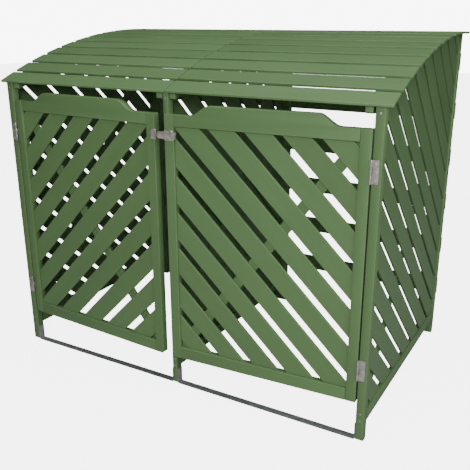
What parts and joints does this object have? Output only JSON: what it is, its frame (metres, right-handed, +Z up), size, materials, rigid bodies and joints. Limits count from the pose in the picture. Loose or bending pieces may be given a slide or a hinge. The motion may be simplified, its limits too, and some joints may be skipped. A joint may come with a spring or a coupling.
{
  "type": "wheelie bin store",
  "caption": "Painted slatted timber store for two wheelie bins, with ajar front doors, hinged curved lids, steel hinges, floor straps and a bolt latch.",
  "frame": {"origin": "on the floor under the middle of the bounding box", "axes": "+Z up; -Y is the front with the doors; +X to the right as seen by someone facing the doors"},
  "size_m": [1.464, 0.9396, 1.213],
  "materials": {
    "frame_paint": "satin opaque green timber paint",
    "door_paint": "satin opaque green timber paint",
    "lid_paint": "satin opaque green timber paint, weathered paler by the light from above",
    "galvanised_steel": "dull zinc",
    "hinge_steel": "bright plated steel",
    "nickel": "warm nickel plate"
  },
  "bodies": {
    "frame": {"left_front_post": "frame_paint", "left_rear_post": "frame_paint", "left_bottom_rail": "frame_paint", "left_top_rail": "frame_paint", "left_slats": "frame_paint", "right_front_post": "frame_paint", "right_rear_post": "frame_paint", "right_bottom_rail": "frame_paint", "right_top_rail": "frame_paint", "right_slats": "frame_paint", "divider_front_post": "frame_paint", "divider_rear_post": "frame_paint", "divider_bottom_rail": "frame_paint", "divider_top_rail": "frame_paint", "divider_slats": "frame_paint", "back_board_1": "frame_paint", "back_board_2": "frame_paint", "back_board_3": "frame_paint", "back_board_4": "frame_paint", "back_board_5": "frame_paint", "back_board_6": "frame_paint", "left_rear_rail": "frame_paint", "left_floor_strap": "galvanised_steel", "left_door_lower_hinge_post_leaf": "hinge_steel", "left_door_upper_hinge_post_leaf": "hinge_steel", "left_lid_inner_hinge_rail_leaf": "hinge_steel", "left_lid_outer_hinge_rail_leaf": "hinge_steel", "right_rear_rail": "frame_paint", "right_floor_strap": "galvanised_steel", "right_door_lower_hinge_post_leaf": "hinge_steel", "right_door_upper_hinge_post_leaf": "hinge_steel", "right_lid_inner_hinge_rail_leaf": "hinge_steel", "right_lid_outer_hinge_rail_leaf": "hinge_steel"},
    "left_door": {"left_door_hinge_stile": "door_paint", "left_door_latch_stile": "door_paint", "left_door_bottom_rail": "door_paint", "left_door_top_rail": "door_paint", "left_door_slats": "door_paint", "left_door_lower_hinge_door_leaf": "hinge_steel", "left_door_upper_hinge_door_leaf": "hinge_steel", "latch_keep": "nickel"},
    "left_lid": {"left_lid_slats": "lid_paint", "left_lid_inner_rafter": "lid_paint", "left_lid_inner_hinge_lid_leaf": "hinge_steel", "left_lid_outer_hinge_lid_leaf": "hinge_steel"},
    "right_door": {"right_door_hinge_stile": "door_paint", "right_door_latch_stile": "door_paint", "right_door_bottom_rail": "door_paint", "right_door_top_rail": "door_paint", "right_door_slats": "door_paint", "right_door_lower_hinge_door_leaf": "hinge_steel", "right_door_upper_hinge_door_leaf": "hinge_steel", "latch_body": "nickel"},
    "right_lid": {"right_lid_slats": "lid_paint", "right_lid_inner_rafter": "lid_paint", "right_lid_inner_hinge_lid_leaf": "hinge_steel", "right_lid_outer_hinge_lid_leaf": "hinge_steel"},
    "latch_bolt": {"latch_bolt": "nickel"}
  },
  "joints": [
    {"name": "left_door_hinge", "type": "hinge", "parent": "frame", "child": "left_door", "pos_m": [-0.6805, -0.42361, 0.55], "axis": [0, 0, -1], "range_deg": [-3.36, 100]},
    {"name": "right_door_hinge", "type": "hinge", "parent": "frame", "child": "right_door", "pos_m": [0.6805, -0.42361, 0.55], "axis": [0, 0, 1], "range_deg": [-3.36, 100]},
    {"name": "latch_bolt_slide", "type": "slide", "parent": "right_door", "child": "latch_bolt", "axis": [-0.9983, -0.0586, 0], "range_m": [0, 0.0075]},
    {"name": "left_lid_hinge", "type": "hinge", "parent": "frame", "child": "left_lid", "pos_m": [-0.345, 0.46339, 1.198], "axis": [-1, 0, 0], "range_deg": [0, 75]},
    {"name": "right_lid_hinge", "type": "hinge", "parent": "frame", "child": "right_lid", "pos_m": [0.345, 0.46339, 1.198], "axis": [-1, 0, 0], "range_deg": [0, 75]}
  ]
}
